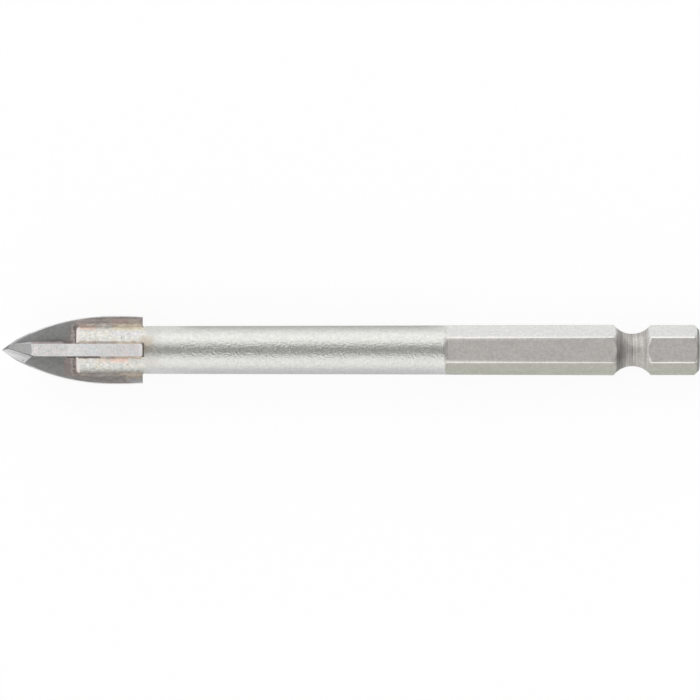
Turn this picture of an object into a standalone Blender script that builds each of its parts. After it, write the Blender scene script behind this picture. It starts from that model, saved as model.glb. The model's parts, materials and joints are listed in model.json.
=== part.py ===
"""Glass and tile drill bit: a steel hex shank with a cross of carbide blades brazed into its socket.

Every piece is modelled in the bit's own frame. +Z there is the axis, from the tip at 0 to the end of
the shank. The main blade lies in the XZ plane and the two side blades in the YZ plane. One empty
carries all the pieces and lays the bit down: the axis then runs along +X and dips towards the shank
end, because the bit rests on the lower side blade and on the rear edge of the lowest hex flat.
"""
import math

import bmesh
import bpy
from mathutils import Matrix, Vector

MM = 0.001

# Overall
OVERALL_LENGTH = 100.0 * MM

# Carbide head
HEAD_DIAMETER = 9.8 * MM
OGIVE_LENGTH = 16.0 * MM          # tip to the start of the full diameter
OGIVE_TIP_DIAMETER = 0.55 * MM    # across the ogive at the tip, before the flats bring it to a point
FULL_DIAMETER_LENGTH = 1.9 * MM   # cylindrical land behind the ogive
BACK_TAPER = 0.1 * MM             # loss of radius from the land to the blades' rear end
BLADE_LENGTH = 20.3 * MM          # tip to the blades' rear end
BLADE_THICKNESS = 1.8 * MM

# Ground facets at the point
RELIEF_LENGTH = 2.1 * MM          # reach of the flats that point the main blade
SIDE_RELIEF_LENGTH = 4.25 * MM    # reach of the side blades' flat relief along their edges
RELIEF_STEP_ANGLE = 55.0          # slope of the short step where that relief ends, in degrees
SIDE_BLADE_START = 1.2 * MM       # where the side blades' rake is deepest, behind the tip
GASH_REACH_INSIDE = 4.34 * MM     # the main rake facet's reach beside the side blade
GASH_REACH_OUTSIDE = 3.15 * MM    # its reach at the cutting edge
GASH_CORNER_OFFSET = 0.2 * MM     # its inner corner, past the axis
GASH_CORNER_START = 1.05 * MM     # the same corner, behind the tip
SIDE_RAKE_DEPTH = 0.2 * MM        # rake ground into the side blades at their front corner
SIDE_RAKE_LENGTH = 1.3 * MM       # the length over which it runs out

# Brazed joint
BRAZE_LAYER = 0.1 * MM            # between each blade and its slot, and between the blades
SLOT_END_CLEARANCE = 0.2 * MM     # behind the blades' rear end
CONTACT_GAP = 0.01 * MM           # keeps touching pieces from overlapping
BRAZE_SKIN_DEPTH = 0.06 * MM      # how far the braze stays under the socket's surface
BRAZE_CONE_LENGTH = 1.8 * MM      # fillet in front of the socket
BRAZE_CONE_TIP_DIAMETER = 2.9 * MM
BRAZE_SEAM_START = 1.95 * MM      # front end of the seam between the main and the side blades
BRAZE_BEAD = 0.24 * MM            # bead along the leading side of that seam
BRAZE_BEAD_START = 4.2 * MM       # front end of the bead

# Socket and shaft
SOCKET_START = 10.8 * MM          # nose of the steel socket, behind the tip
SOCKET_CHAMFER = 0.3 * MM
SHAFT_DIAMETER_FRONT = 6.85 * MM
SHAFT_DIAMETER_REAR = 7.05 * MM

# Hex drive end
HEX_ACROSS_FLATS = 6.35 * MM
HEX_LENGTH = 36.1 * MM            # from the end of the shank to the start of the flats
HEX_RUN_OUT_ANGLE = 34.0          # slope of each flat's run-out, in degrees
HEX_STEP_LENGTH = 0.6 * MM        # the corners grow to their own diameter over this length
CORNER_DIAMETER_FRONT = 7.1 * MM
CORNER_DIAMETER_REAR = 7.3 * MM
CORNER_DIAMETER_END = 7.21 * MM
GROOVE_FROM_END = 9.6 * MM        # middle of the ball groove, from the end of the shank
GROOVE_DIAMETER = 4.65 * MM       # across the bottom of the groove
GROOVE_ARC_RADIUS = 3.4 * MM
END_FACE_DIAMETER = 5.8 * MM
END_CHAMFER_ANGLE = 45.0

# Fineness of the round shapes
TURNED_STEPS = 72
OGIVE_POINTS = 20
GROOVE_POINTS = 14

HEAD_RADIUS = HEAD_DIAMETER / 2
HALF_BLADE = BLADE_THICKNESS / 2
SLOT_WIDTH = BLADE_THICKNESS + 2 * BRAZE_LAYER
SLOT_END = BLADE_LENGTH + SLOT_END_CLEARANCE
LAND_END = OGIVE_LENGTH + FULL_DIAMETER_LENGTH
HEX_START = OVERALL_LENGTH - HEX_LENGTH
GROOVE_CENTRE = OVERALL_LENGTH - GROOVE_FROM_END
FLAT_RADIUS = HEX_ACROSS_FLATS / 2
OVERSHOOT = 2 * MM                # how far a cutter reaches past what it cuts


def ogive_radius(s):
    """Radius of the head at s behind the tip: an arc tangent to the full diameter."""
    rise = HEAD_RADIUS - OGIVE_TIP_DIAMETER / 2
    arc = (OGIVE_LENGTH ** 2 + rise ** 2) / (2 * rise)
    return HEAD_RADIUS - arc + math.sqrt(arc ** 2 - (OGIVE_LENGTH - s) ** 2)


def groove_half_width(radius):
    """Half the groove's width where its arc leaves a body of this radius."""
    rise = GROOVE_ARC_RADIUS - (radius - GROOVE_DIAMETER / 2)
    return math.sqrt(GROOVE_ARC_RADIUS ** 2 - rise ** 2)


def clear_scene():
    for item in list(bpy.data.objects):
        bpy.data.objects.remove(item, do_unlink=True)


def make_collection(name):
    collection = bpy.data.collections.new(name)
    bpy.context.scene.collection.children.link(collection)
    return collection


def make_material(name, colour, roughness, metallic):
    material = bpy.data.materials.new(name)
    material.use_nodes = True
    shader = material.node_tree.nodes["Principled BSDF"]
    shader.inputs["Base Color"].default_value = (*colour, 1.0)
    shader.inputs["Roughness"].default_value = roughness
    shader.inputs["Metallic"].default_value = metallic
    material.diffuse_color = (*colour, 1.0)
    return material


def mesh_object(name, mesh, collection, parent, matrix=Matrix.Identity(4)):
    item = bpy.data.objects.new(name, mesh)
    collection.objects.link(item)
    item.parent = parent
    item.matrix_local = matrix
    return item


def turned(name, profile, collection, parent):
    """A body turned about +Z from (radius, height) points, listed from the top down."""
    mesh = bpy.data.meshes.new(name)
    points = [(radius, 0, height) for radius, height in profile]
    mesh.from_pydata(points, [(i, i + 1) for i in range(len(points) - 1)], [])
    item = mesh_object(name, mesh, collection, parent)
    screw = item.modifiers.new("turn", "SCREW")
    screw.axis = "Z"
    screw.steps = TURNED_STEPS
    screw.render_steps = TURNED_STEPS
    screw.use_merge_vertices = True
    screw.merge_threshold = 0.001 * MM
    return item


def box(name, low, high, collection, parent, matrix=Matrix.Identity(4)):
    """A box between two corners."""
    low, high = Vector(low), Vector(high)
    mesh = bpy.data.meshes.new(name)
    shape = bmesh.new()
    size = high - low
    place = Matrix.Translation((low + high) / 2) @ Matrix.Diagonal((*size, 1))
    bmesh.ops.create_cube(shape, size=1, matrix=place)
    shape.to_mesh(mesh)
    shape.free()
    return mesh_object(name, mesh, collection, parent, matrix)


def prism(name, outline, low, high, collection, parent, matrix=Matrix.Identity(4)):
    """A flat outline in the local XY plane, filled and extruded from low to high along local Z."""
    curve = bpy.data.curves.new(name, "CURVE")
    curve.dimensions = "2D"
    curve.fill_mode = "BOTH"
    curve.extrude = (high - low) / 2
    spline = curve.splines.new("POLY")
    spline.points.add(len(outline) - 1)
    for point, (x, y) in zip(spline.points, outline):
        point.co = (x, y, 0, 1)
    spline.use_cyclic_u = True
    guide = bpy.data.objects.new(name + "_outline", curve)
    collection.objects.link(guide)
    evaluated = guide.evaluated_get(bpy.context.evaluated_depsgraph_get())
    mesh = bpy.data.meshes.new_from_object(evaluated)
    bpy.data.objects.remove(guide, do_unlink=True)
    shape = bmesh.new()
    shape.from_mesh(mesh)
    bmesh.ops.remove_doubles(shape, verts=shape.verts, dist=0.0001 * MM)
    bmesh.ops.recalc_face_normals(shape, faces=shape.faces)
    bmesh.ops.translate(shape, verts=shape.verts, vec=(0, 0, (low + high) / 2))
    shape.to_mesh(mesh)
    shape.free()
    mesh.name = name
    return mesh_object(name, mesh, collection, parent, matrix)


def as_cutter(item):
    item.hide_render = True
    item.display_type = "WIRE"
    return item


def combine(item, other, operation):
    modifier = item.modifiers.new(operation.lower(), "BOOLEAN")
    modifier.operation = operation
    modifier.object = other


def finish(item, material, sharp_angle=25.0):
    item.data.materials.append(material)
    item.data.shade_smooth()
    item.data.set_sharp_from_angle(angle=math.radians(sharp_angle))


def frame_of(x_axis, y_axis, origin=Vector((0, 0, 0))):
    """Matrix whose local X and Y run along the two given directions."""
    x_axis, y_axis = Vector(x_axis).normalized(), Vector(y_axis).normalized()
    turn = Matrix((x_axis, y_axis, x_axis.cross(y_axis))).transposed()
    return Matrix.Translation(origin) @ turn.to_4x4()


def spoke(angle):
    """Unit vector at this angle in the plane across the axis."""
    return Vector((math.cos(angle), math.sin(angle), 0))


def shank_profile():
    """Outline of the turned steel body, from the end of the shank down to the socket's nose."""
    end_radius = END_FACE_DIAMETER / 2
    corner_end = CORNER_DIAMETER_END / 2
    corner_rear = CORNER_DIAMETER_REAR / 2
    chamfer = (corner_end - end_radius) / math.tan(math.radians(END_CHAMFER_ANGLE))
    profile = [(0, OVERALL_LENGTH), (end_radius, OVERALL_LENGTH), (corner_end, OVERALL_LENGTH - chamfer)]
    rear_half = groove_half_width(corner_end)
    front_half = groove_half_width(corner_rear)
    start, stop = math.asin(rear_half / GROOVE_ARC_RADIUS), -math.asin(front_half / GROOVE_ARC_RADIUS)
    for i in range(GROOVE_POINTS + 1):
        turn = start + (stop - start) * i / GROOVE_POINTS
        radius = GROOVE_DIAMETER / 2 + GROOVE_ARC_RADIUS * (1 - math.cos(turn))
        profile.append((radius, GROOVE_CENTRE + GROOVE_ARC_RADIUS * math.sin(turn)))
    socket_radius = SHAFT_DIAMETER_FRONT / 2
    profile += [
        (CORNER_DIAMETER_FRONT / 2, HEX_START + HEX_STEP_LENGTH),
        (SHAFT_DIAMETER_REAR / 2, HEX_START),
        (socket_radius, SLOT_END),
        (socket_radius, SOCKET_START + SOCKET_CHAMFER),
        (socket_radius - SOCKET_CHAMFER, SOCKET_START),
        (0, SOCKET_START),
    ]
    return profile


def head_profile():
    """Outline that all the blades share, from their rear end down past the tip."""
    profile = [(0, BLADE_LENGTH), (HEAD_RADIUS - BACK_TAPER, BLADE_LENGTH), (HEAD_RADIUS, LAND_END)]
    for i in range(OGIVE_POINTS + 1):
        s = OGIVE_LENGTH * (1 - i / OGIVE_POINTS)
        profile.append((ogive_radius(s), s))
    profile += [(OGIVE_TIP_DIAMETER / 2, -OVERSHOOT), (0, -OVERSHOOT)]
    return profile


def braze_profile():
    """Outline of the braze before the steel and the blades are taken from it."""
    skin_radius = SHAFT_DIAMETER_FRONT / 2 - BRAZE_SKIN_DEPTH
    nose_radius = SHAFT_DIAMETER_FRONT / 2 - SOCKET_CHAMFER
    front = SOCKET_START - CONTACT_GAP
    return [
        (0, SLOT_END - CONTACT_GAP),
        (skin_radius, SLOT_END - CONTACT_GAP),
        (skin_radius, SOCKET_START + SOCKET_CHAMFER),
        (nose_radius - BRAZE_SKIN_DEPTH, front),
        (BRAZE_CONE_TIP_DIAMETER / 2, front - BRAZE_CONE_LENGTH),
        (0, front - BRAZE_CONE_LENGTH),
    ]


def flat_cutter(index, cutters, parent):
    """Cutter of one hex flat, with the sloped run-out at its front end."""
    outward = spoke(math.radians(90 + 60 * index))
    reach = CORNER_DIAMETER_REAR / 2 - FLAT_RADIUS + OVERSHOOT
    run_out = reach / math.tan(math.radians(HEX_RUN_OUT_ANGLE))
    outline = [
        (FLAT_RADIUS, HEX_START),
        (FLAT_RADIUS, OVERALL_LENGTH + OVERSHOOT),
        (FLAT_RADIUS + reach, OVERALL_LENGTH + OVERSHOOT),
        (FLAT_RADIUS + reach, HEX_START - run_out),
    ]
    half_width = HEX_ACROSS_FLATS / 2 + OVERSHOOT
    matrix = frame_of(outward, (0, 0, 1))
    return as_cutter(prism(f"hex_flat_cutter_{index + 1}", outline, -half_width, half_width,
                           cutters, parent, matrix))


def slot_cutter(index, cutters, parent):
    """Cutter of one of the two slots that cross in the socket."""
    half_width, reach = SLOT_WIDTH / 2, SHAFT_DIAMETER_FRONT / 2 + OVERSHOOT
    low = (-reach, -half_width, SOCKET_START - OVERSHOOT)
    high = (reach, half_width, SLOT_END)
    matrix = Matrix.Rotation(math.radians(90 * index), 4, "Z")
    return as_cutter(box(f"slot_cutter_{index + 1}", low, high, cutters, parent, matrix))


def gash_cutter(index, cutters, parent):
    """Cutter of the rake facet on one half of the main blade; its other wall trims the side blade.

    The floor is the plane through the tip and through the line where the facet leaves the blade's
    face. The outline has a corner past the axis, where the two walls of the gash meet.
    """
    inside = Vector((-HALF_BLADE, HALF_BLADE, GASH_REACH_INSIDE))
    outside = Vector((-ogive_radius(GASH_REACH_OUTSIDE), HALF_BLADE, GASH_REACH_OUTSIDE))
    normal = outside.cross(inside).normalized()
    along = inside.normalized()
    across = normal.cross(along)

    def on_floor(x, z):
        """Local place of the floor's point above this x and z."""
        point = Vector((x, -(normal.x * x + normal.z * z) / normal.y, z))
        return Vector((point.dot(along), point.dot(across)))

    corner = on_floor(GASH_CORNER_OFFSET, GASH_CORNER_START)
    past_tip = -2 * corner
    past_face = corner + 2 * (on_floor(inside.x, inside.z) - corner)
    beyond = on_floor(-HEAD_RADIUS, 0)
    outline = [past_tip, beyond, past_face, corner]
    matrix = Matrix.Rotation(math.radians(180 * index), 4, "Z") @ frame_of(along, across)
    return as_cutter(prism(f"gash_cutter_{index + 1}", outline, 0, HEAD_RADIUS, cutters, parent, matrix))


def relief_cutter(index, cutters, parent):
    """Cutter of the flat that points one edge of the main blade, from the tip to RELIEF_LENGTH."""
    rear = Vector((ogive_radius(RELIEF_LENGTH), RELIEF_LENGTH))
    slope = rear.normalized()
    outward = Vector((slope.y, -slope.x))
    low, high = -slope * OVERSHOOT, rear + slope * OVERSHOOT
    outline = [low, low + outward * OVERSHOOT, high + outward * OVERSHOOT, high]
    return as_cutter(prism(f"main_relief_cutter_{index + 1}", outline, -BLADE_THICKNESS, BLADE_THICKNESS,
                           cutters, parent, frame_of(spoke(math.pi * index), (0, 0, 1))))


def side_relief_cutter(index, cutters, parent):
    """Cutter of the flat relief that runs from the tip up one side blade and ends in a short step.

    The flat meets the side blade's long edges at SIDE_RELIEF_LENGTH. In front of the side blade it also
    flattens the main blade.
    """
    height = math.sqrt(ogive_radius(SIDE_RELIEF_LENGTH) ** 2 - HALF_BLADE ** 2)
    rear = Vector((height, SIDE_RELIEF_LENGTH))
    slope = rear.normalized()
    outward = Vector((slope.y, -slope.x))
    step_angle = math.radians(RELIEF_STEP_ANGLE)
    step = Vector((math.sin(step_angle), math.cos(step_angle)))
    low = -slope * OVERSHOOT
    outline = [low, low + outward * 2 * OVERSHOOT, rear + step * OVERSHOOT, rear]
    angle = math.radians(90 + 180 * index)
    return as_cutter(prism(f"side_relief_cutter_{index + 1}", outline, -BLADE_THICKNESS, BLADE_THICKNESS,
                           cutters, parent, frame_of(spoke(angle), (0, 0, 1))))


def side_rake_cutter(index, cutters, parent):
    """Cutter of the shallow rake on a side blade's leading face, clear of the main blade."""
    slope = SIDE_RAKE_DEPTH / SIDE_RAKE_LENGTH
    front = SIDE_BLADE_START - OVERSHOOT
    rear = SIDE_BLADE_START + SIDE_RAKE_LENGTH + OVERSHOOT
    face = HALF_BLADE - SIDE_RAKE_DEPTH
    outline = [
        (face - slope * OVERSHOOT, front),
        (HALF_BLADE + OVERSHOOT, front),
        (HALF_BLADE + OVERSHOOT, rear),
        (face + slope * (rear - SIDE_BLADE_START), rear),
    ]
    turn = Matrix.Rotation(math.radians(180 * index), 4, "Z")
    matrix = turn @ frame_of((1, 0, 0), (0, 0, 1))
    return as_cutter(prism(f"side_rake_cutter_{index + 1}", outline, -HEAD_RADIUS, -HALF_BLADE,
                           cutters, parent, matrix))


def lobe_cutter(index, cutters, parent):
    """The room that one of the socket's four steel lobes takes, with the contact gap around it."""
    inner = SLOT_WIDTH / 2 - CONTACT_GAP
    outer = SHAFT_DIAMETER_FRONT / 2 + OVERSHOOT
    low = (inner, inner, SOCKET_START - CONTACT_GAP)
    high = (outer, outer, SLOT_END + OVERSHOOT)
    matrix = Matrix.Rotation(math.radians(90 * index), 4, "Z")
    return as_cutter(box(f"lobe_room_{index + 1}", low, high, cutters, parent, matrix))


def build_shank(parts, cutters, parent, material):
    shank = turned("shank", shank_profile(), parts, parent)
    finish(shank, material)
    for index in range(6):
        combine(shank, flat_cutter(index, cutters, parent), "DIFFERENCE")
    for index in range(2):
        combine(shank, slot_cutter(index, cutters, parent), "DIFFERENCE")
    return shank


def build_main_blade(parts, cutters, parent, material, envelope, side_reliefs, gashes):
    reach = HEAD_RADIUS + OVERSHOOT
    low = (-reach, -HALF_BLADE, -OVERSHOOT)
    high = (reach, HALF_BLADE, BLADE_LENGTH + OVERSHOOT)
    blade = box("main_blade", low, high, parts, parent)
    finish(blade, material)
    combine(blade, envelope, "INTERSECT")
    reliefs = [relief_cutter(index, cutters, parent) for index in range(2)]
    for cutter in reliefs + side_reliefs + gashes:
        combine(blade, cutter, "DIFFERENCE")
    return blade


def build_side_blade(name, index, parts, cutters, parent, material, envelope, relief, gash):
    """A half plate that butts on the main blade; index 0 stands at +Y and index 1 at -Y."""
    seat = HALF_BLADE + BRAZE_LAYER
    low = (-HALF_BLADE, seat, -OVERSHOOT)
    high = (HALF_BLADE, HEAD_RADIUS + OVERSHOOT, BLADE_LENGTH + OVERSHOOT)
    blade = box(name, low, high, parts, parent, Matrix.Rotation(math.radians(180 * index), 4, "Z"))
    finish(blade, material)
    combine(blade, envelope, "INTERSECT")
    for cutter in (relief, gash, side_rake_cutter(index, cutters, parent)):
        combine(blade, cutter, "DIFFERENCE")
    return blade


def build_braze(parts, cutters, parent, material, gashes):
    """Braze in the cross slot and the seams, with the fillets in front of the socket."""
    braze = turned("braze", braze_profile(), parts, parent)
    finish(braze, material)
    for index in range(4):
        combine(braze, lobe_cutter(index, cutters, parent), "DIFFERENCE")
    face = HALF_BLADE + CONTACT_GAP
    seat = HALF_BLADE + BRAZE_LAYER - CONTACT_GAP
    bead_outline = [(0, face), (face + BRAZE_BEAD, face), (face, face + BRAZE_BEAD), (0, face + BRAZE_BEAD)]
    rear = SOCKET_START - BRAZE_BEAD
    reach = HEAD_RADIUS + OVERSHOOT
    low, high = -OVERSHOOT, BLADE_LENGTH + CONTACT_GAP
    turns = [Matrix.Rotation(math.radians(180 * index), 4, "Z") for index in range(2)]
    for index, turn in enumerate(turns):
        web = box(f"seam_{index + 1}", (-HALF_BLADE, face, BRAZE_SEAM_START), (HALF_BLADE, seat, rear),
                  cutters, parent, turn)
        combine(braze, as_cutter(web), "UNION")
        bead = prism(f"bead_{index + 1}", bead_outline, BRAZE_BEAD_START, rear, cutters, parent, turn)
        combine(braze, as_cutter(bead), "UNION")
    room = box("main_blade_room", (-reach, -face, low), (reach, face, high), cutters, parent)
    combine(braze, as_cutter(room), "DIFFERENCE")
    for index, turn in enumerate(turns):
        room = box(f"side_blade_room_{index + 1}", (-face, seat, low), (face, reach, high),
                   cutters, parent, turn)
        combine(braze, as_cutter(room), "DIFFERENCE")
        combine(braze, gashes[index], "DIFFERENCE")
    return braze


def rest_matrix():
    """Lays the bit down on the floor, with the origin under the middle of its box.

    The head touches at the rear end of the lower side blade's full-diameter land, and the shank at
    the rear end of its lowest flat. The dip of the axis follows from the two heights.
    """
    end_radius = END_FACE_DIAMETER / 2
    flat_end = max(0, FLAT_RADIUS - end_radius) / math.tan(math.radians(END_CHAMFER_ANGLE))
    span = OVERALL_LENGTH - flat_end - LAND_END
    dip = math.atan2(HEAD_RADIUS - FLAT_RADIUS, span)
    lying = Matrix(((0, 0, 1), (1, 0, 0), (0, 1, 0))).to_4x4()
    low_x, high_x = 0, OVERALL_LENGTH * math.cos(dip) + end_radius * math.sin(dip)
    lift = LAND_END * math.sin(dip) + HEAD_RADIUS * math.cos(dip)
    shift = Matrix.Translation((-(low_x + high_x) / 2, 0, lift))
    return shift @ Matrix.Rotation(dip, 4, "Y") @ lying


def main():
    clear_scene()
    parts = make_collection("glass_and_tile_drill_bit")
    cutters = make_collection("cutters")
    axis = bpy.data.objects.new("bit_axis", None)
    parts.objects.link(axis)
    axis.matrix_world = rest_matrix()

    steel = make_material("satin_steel", (0.62, 0.62, 0.60), 0.35, 1.0)
    carbide = make_material("cemented_carbide", (0.21, 0.21, 0.21), 0.5, 0.6)
    alloy = make_material("braze_alloy", (0.42, 0.32, 0.26), 0.5, 0.8)

    envelope = as_cutter(turned("head_envelope", head_profile(), cutters, axis))
    gashes = [gash_cutter(index, cutters, axis) for index in range(2)]
    side_reliefs = [side_relief_cutter(index, cutters, axis) for index in range(2)]
    build_shank(parts, cutters, axis, steel)
    build_main_blade(parts, cutters, axis, carbide, envelope, side_reliefs, gashes)
    for index, name in enumerate(("side_blade_upper", "side_blade_lower")):
        build_side_blade(name, index, parts, cutters, axis, carbide, envelope, side_reliefs[index],
                         gashes[index])
    build_braze(parts, cutters, axis, alloy, gashes)


main()
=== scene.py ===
"""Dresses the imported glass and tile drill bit: finely made pieces, procedural finishes, a stage and a camera.

All shapes are worked out in the bit's own axes, in metres: x across the main blade, y across the side
blades and s along the axis, from the tip at 0 to the end of the shank. They are then laid down along
the axis that the record's shank_end mount gives. In the finishes s, x and y are millimetres: the bounds
of a step, band or spot are places along or across the bit, and the last number of a mask is its share.
"""
import json
import math

import bmesh
import bpy
import numpy as np
from mathutils import Matrix, Vector


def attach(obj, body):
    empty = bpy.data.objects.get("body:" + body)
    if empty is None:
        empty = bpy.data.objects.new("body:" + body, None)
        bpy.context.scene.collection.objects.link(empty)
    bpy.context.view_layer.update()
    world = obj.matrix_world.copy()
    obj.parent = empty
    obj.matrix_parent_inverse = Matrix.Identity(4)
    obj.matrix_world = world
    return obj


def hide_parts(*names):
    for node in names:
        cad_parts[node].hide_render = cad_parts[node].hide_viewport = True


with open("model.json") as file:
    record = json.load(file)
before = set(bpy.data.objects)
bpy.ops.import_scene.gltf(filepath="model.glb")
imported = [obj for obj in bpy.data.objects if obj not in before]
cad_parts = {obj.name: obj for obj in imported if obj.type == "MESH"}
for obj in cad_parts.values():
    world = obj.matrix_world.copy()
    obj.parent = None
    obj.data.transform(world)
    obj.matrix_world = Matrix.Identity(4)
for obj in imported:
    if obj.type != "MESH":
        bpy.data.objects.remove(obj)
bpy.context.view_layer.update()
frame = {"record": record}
RECORD = frame["record"]

bl_info = {
    "name": "Glass and tile drill bit",
    "version": (1, 0, 0),
    "blender": (4, 5, 0),
    "location": "View3D > Sidebar > Drill Bit",
    "description": "Makes a glass and tile drill bit on its packed frame, with its finishes and a stage",
    "category": "Add Mesh",
}

MM = 0.001
BODY = "root"
SLOT_HALF = 1.0 * MM
SUNK = 0.02 * MM
SHARP = 30.0


def length_setting(name, description, default):
    """A size in metres that the panel shows as a length."""
    return bpy.props.FloatProperty(name=name, description=description, default=default * MM, min=0.0,
                                   precision=5, unit="LENGTH")


def colour_setting(name, description, default):
    """A linear colour without alpha."""
    return bpy.props.FloatVectorProperty(name=name, description=description, default=default, size=3,
                                         min=0.0, max=1.0, subtype="COLOR")


def share_setting(name, description, default, high=1.0):
    """A plain number from nought to high."""
    return bpy.props.FloatProperty(name=name, description=description, default=default, min=0.0, max=high,
                                   subtype="FACTOR")


class HeadSizes(bpy.types.PropertyGroup):
    """Sizes of the carbide head and of the braze that holds it"""

    diameter: length_setting("Diameter", "Across the head at its land", 9.8)
    ogive: length_setting("Ogive length", "From the tip to the full diameter", 16.0)
    ogive_tip: length_setting("Ogive tip", "Across the ogive at the tip, before the flats point it", 0.55)
    land: length_setting("Land length", "Length of the full diameter", 1.9)
    back_taper: length_setting("Back taper", "Loss of radius behind the land", 0.1)
    blade_length: length_setting("Blade length", "From the tip to the rear end of the blades", 20.3)
    thickness: length_setting("Blade thickness", "Thickness of each carbide blade", 1.8)
    relief: length_setting("Relief length", "Reach of the flats that point the main blade", 2.1)
    side_relief: length_setting("Side relief length", "Reach of the side blades' flat relief", 4.25)
    relief_step: bpy.props.FloatProperty(name="Relief step", description="Slope where that relief ends",
                                         default=math.radians(55), subtype="ANGLE")
    side_start: length_setting("Side rake start", "Where the side blades' rake is deepest", 1.2)
    gash_inside: length_setting("Gash inside", "Reach of the rake facet beside the side blade", 4.34)
    gash_outside: length_setting("Gash outside", "Reach of the rake facet at the cutting edge", 3.15)
    gash_offset: length_setting("Gash corner offset", "Inner corner of the rake facet, past the axis", 0.2)
    gash_start: length_setting("Gash corner start", "Inner corner of the rake facet, behind the tip", 1.05)
    rake_depth: length_setting("Side rake depth", "Rake ground into the side blades' front corner", 0.2)
    rake_length: length_setting("Side rake length", "Length over which that rake runs out", 1.3)
    braze_layer: length_setting("Braze layer", "Braze between each blade and its slot", 0.1)
    rear_round: length_setting("Rear round", "Radius of the side blades' rear corners", 0.28)
    edge: length_setting("Edge", "Width of the small chamfer on the carbide's edges", 0.035)


class ShankSizes(bpy.types.PropertyGroup):
    """Sizes of the steel socket, the shaft and the hex drive end"""

    length: length_setting("Length", "Overall length of the bit", 100.0)
    nose: length_setting("Socket start", "Nose of the socket, behind the tip", 10.8)
    nose_drop: length_setting("Nose drop", "Loss of radius where the nose is rounded", 0.2)
    nose_round: length_setting("Nose round", "Length over which the nose is rounded", 0.46)
    slot_end: length_setting("Slot end", "End of the crossing slots, behind the tip", 20.5)
    front_diameter: length_setting("Front diameter", "Across the shaft at the socket", 6.85)
    rear_diameter: length_setting("Rear diameter", "Across the shaft at the hex", 7.05)
    flats: length_setting("Across flats", "Across the hex flats", 6.35)
    hex_length: length_setting("Hex length", "From the end to the start of the flats", 36.1)
    run_out: bpy.props.FloatProperty(name="Run-out angle", description="Slope where each flat runs out",
                                     default=math.radians(34), subtype="ANGLE")
    step: length_setting("Corner step", "Length over which the corners reach their own diameter", 0.6)
    corner_front: length_setting("Corner diameter, front", "Across the hex corners at the front", 7.1)
    corner_rear: length_setting("Corner diameter, rear", "Across the hex corners before the groove", 7.3)
    corner_end: length_setting("Corner diameter, end", "Across the hex corners behind the groove", 7.21)
    groove_place: length_setting("Groove from end", "Middle of the ball groove, from the end", 9.6)
    groove_diameter: length_setting("Groove diameter", "Across the bottom of the ball groove", 4.65)
    groove_arc: length_setting("Groove arc", "Radius of the groove's section", 3.4)
    end_face: length_setting("End face", "Across the flat end, inside its chamfer", 5.8)
    edge: length_setting("Edge", "Width of the small chamfer on the socket's edges", 0.03)


class FinishColours(bpy.types.PropertyGroup):
    """Colours of the steel, the carbide and the braze"""

    steel: colour_setting("Steel", "Satin blasted steel", (0.64, 0.646, 0.612))
    # A warm tint that is also lighter than the steel, as painted light on the middle flats.
    steel_warm: colour_setting("Warm steel", "Flats that lie like the main blade", (0.76, 0.72, 0.69))
    steel_dark: colour_setting("Dark steel", "Turning marks in the groove", (0.30, 0.30, 0.285))
    stain: colour_setting("Heat stain", "Brown stain where the socket was heated", (0.56, 0.47, 0.35))
    socket: colour_setting("Socket", "Heated and pickled steel of the socket", (0.84, 0.83, 0.785))
    # A pink tint, lightened as a painted highlight of the rounded nose.
    nose: colour_setting("Socket nose", "Pale pink nose of the socket", (0.95, 0.87, 0.84))
    carbide: colour_setting("Carbide", "Face of the carbide as it was sintered", (0.305, 0.305, 0.303))
    ground: colour_setting("Ground land", "The ground outer lands", (0.64, 0.625, 0.62))
    relief: colour_setting("Ground relief", "The duller relief facets", (0.37, 0.37, 0.368))
    # Lighter than the ground land, partly as painted light.
    rake: colour_setting("Ground rake", "The bright rake facets", (0.88, 0.88, 0.88))
    # Dark as painted shade of the gash wall.
    wall: colour_setting("Gash wall", "The rear walls of the gashes", (0.16, 0.16, 0.16))
    braze: colour_setting("Braze", "Oxidised braze alloy", (0.265, 0.23, 0.215))
    brass: colour_setting("Clean braze", "Cleaner braze along the joints", (0.57, 0.485, 0.385))
    bead: colour_setting("Seam bead", "Bead between the blades", (0.42, 0.35, 0.355))


class StudioSettings(bpy.types.PropertyGroup):
    """Camera, lamps and floor"""

    camera_distance: length_setting("Camera distance", "From the bit's axis", 1200.0)
    frame_width: length_setting("Frame width", "Width that the picture takes in", 100.36)
    frame_centre: length_setting("Frame centre", "Middle of the picture, from the tip", 49.95)
    key: bpy.props.FloatProperty(name="Key lamp", description="Power of the softbox above the picture",
                                 default=0.28, min=0.0, unit="POWER")
    fill: bpy.props.FloatProperty(name="Fill lamp", description="Power of the softbox below the picture",
                                  default=0.28, min=0.0, unit="POWER")
    dome: share_setting("Dome", "Brightness of the dome at the horizon", 1.2, 2.0)
    zenith: share_setting("Zenith", "Brightness of the dome straight above", 0.28, 2.0)
    floor: colour_setting("Floor", "Colour of the floor", (0.93, 0.93, 0.93))


def axes():
    """Tip, cross direction, up direction and axis of the bit in the room, from the shank_end mount."""
    mount = next(m for m in RECORD["mounts"] if m["name"] == "shank_end")
    along = Vector(mount["axis"]).normalized()
    across = Vector((0, 1, 0))
    up = along.cross(across)
    tip = Vector(mount["pos_m"]) - along * bpy.context.scene.shank_sizes.length
    return tip, across, up, along


def laid_down(points):
    """Bit coordinates (x, y, s) as an (n, 3) array, moved to the place where the bit lies."""
    tip, across, up, along = axes()
    return np.asarray(points) @ np.array([across, up, along]) + np.array(tip)


def grid_quads(rows, columns, wrap=False, start=0):
    """Quads of a grid with that many rows and columns of points; wrap joins the last column to the first."""
    i, j = np.meshgrid(np.arange(rows - 1), np.arange(columns if wrap else columns - 1), indexing="ij")
    k = (j + 1) % columns
    quads = np.stack([i * columns + j, i * columns + k, (i + 1) * columns + k, (i + 1) * columns + j], -1)
    return quads.reshape(-1, 4) + start


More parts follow.
